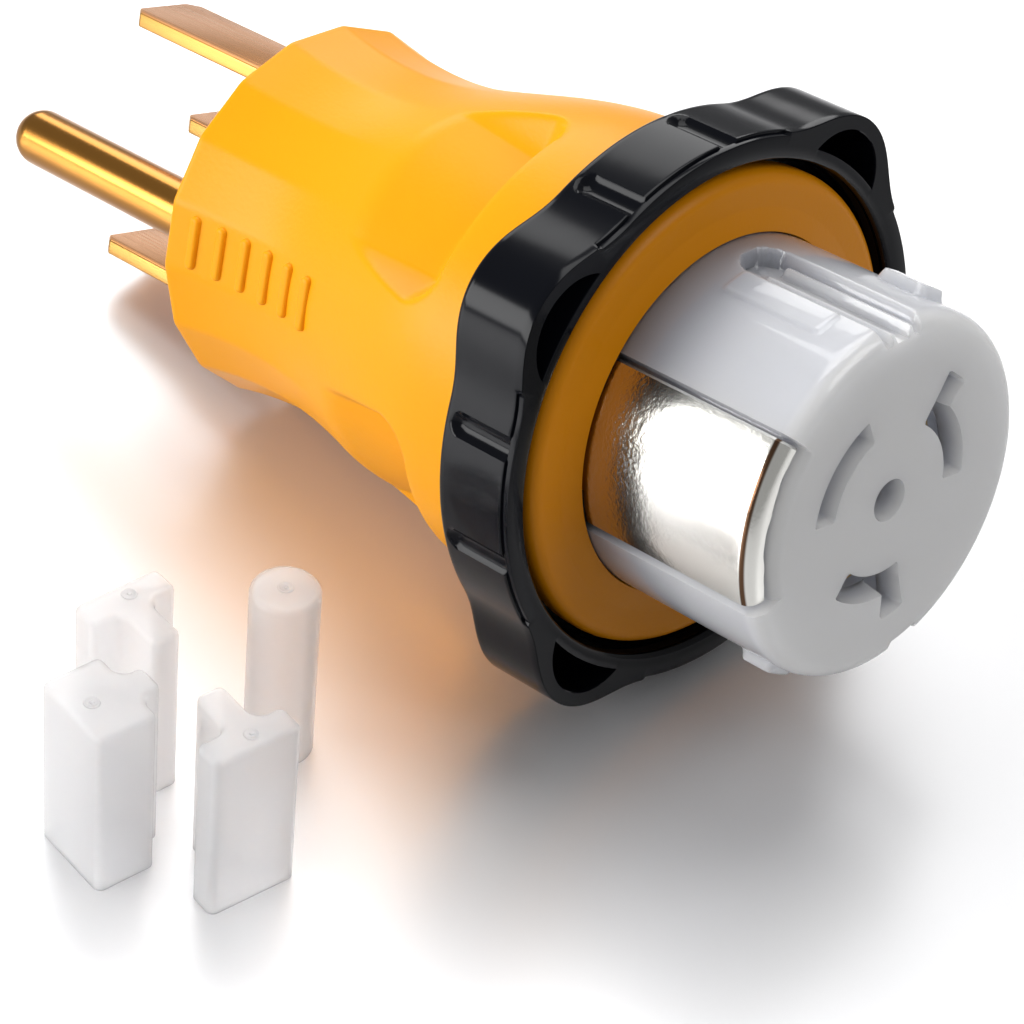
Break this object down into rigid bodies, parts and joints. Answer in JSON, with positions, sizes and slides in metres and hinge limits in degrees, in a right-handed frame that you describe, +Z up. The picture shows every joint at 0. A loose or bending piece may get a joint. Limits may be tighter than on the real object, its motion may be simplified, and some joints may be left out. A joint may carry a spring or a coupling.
{
  "type": "plug adapter",
  "caption": "Straight power adapter with flat blades and a round ground pin at one end and a curved-slot locking connector with a turning lobed ring at the other.",
  "frame": {"origin": "on the floor, in the middle of the footprint of the adapter and its loose caps", "axes": "+X toward the connector along the floor, +Y to the side away from the caps, +Z up"},
  "size_m": [0.1458, 0.1244, 0.0743],
  "materials": {
    "yellow_shell": "smooth moulded plastic with a soft sheen",
    "black_ring": "glossy black moulding",
    "clear_barrel": "milky translucent moulding",
    "dark_insert": "plain moulded plastic",
    "prong_brass": "bright rolled brass",
    "plate_nickel": "bright nickel plating",
    "contact_brass": "spring brass",
    "screw_steel": "zinc-plated steel",
    "lead_black": "insulated wire",
    "lead_red": "insulated wire",
    "lead_white": "insulated wire",
    "lead_green": "insulated wire",
    "cap_clear": "soft translucent moulding"
  },
  "bodies": {
    "adapter": {"body_shell": "yellow_shell", "plug_insert": "dark_insert", "blade_hot_x": "prong_brass", "blade_hot_y": "prong_brass", "blade_neutral": "prong_brass", "ground_pin": "prong_brass", "connector_barrel": "clear_barrel", "contact_carrier": "clear_barrel", "contact_hot_x": "contact_brass", "contact_hot_y": "contact_brass", "contact_neutral": "contact_brass", "carrier_screws": "screw_steel", "ground_plate": "plate_nickel", "lead_hot_x": "lead_black", "lead_hot_y": "lead_red", "lead_neutral": "lead_white", "lead_ground": "lead_green", "cap_hot_x": "cap_clear", "cap_hot_y": "cap_clear", "cap_neutral": "cap_clear", "cap_ground": "cap_clear"},
    "ring": {"locking_ring": "black_ring"}
  },
  "joints": [
    {"name": "ring_turn", "type": "hinge", "parent": "adapter", "child": "ring", "pos_m": [0.03554, 0.02545, 0.03714], "axis": [0.9875, 0, 0.1579], "continuous": true}
  ]
}
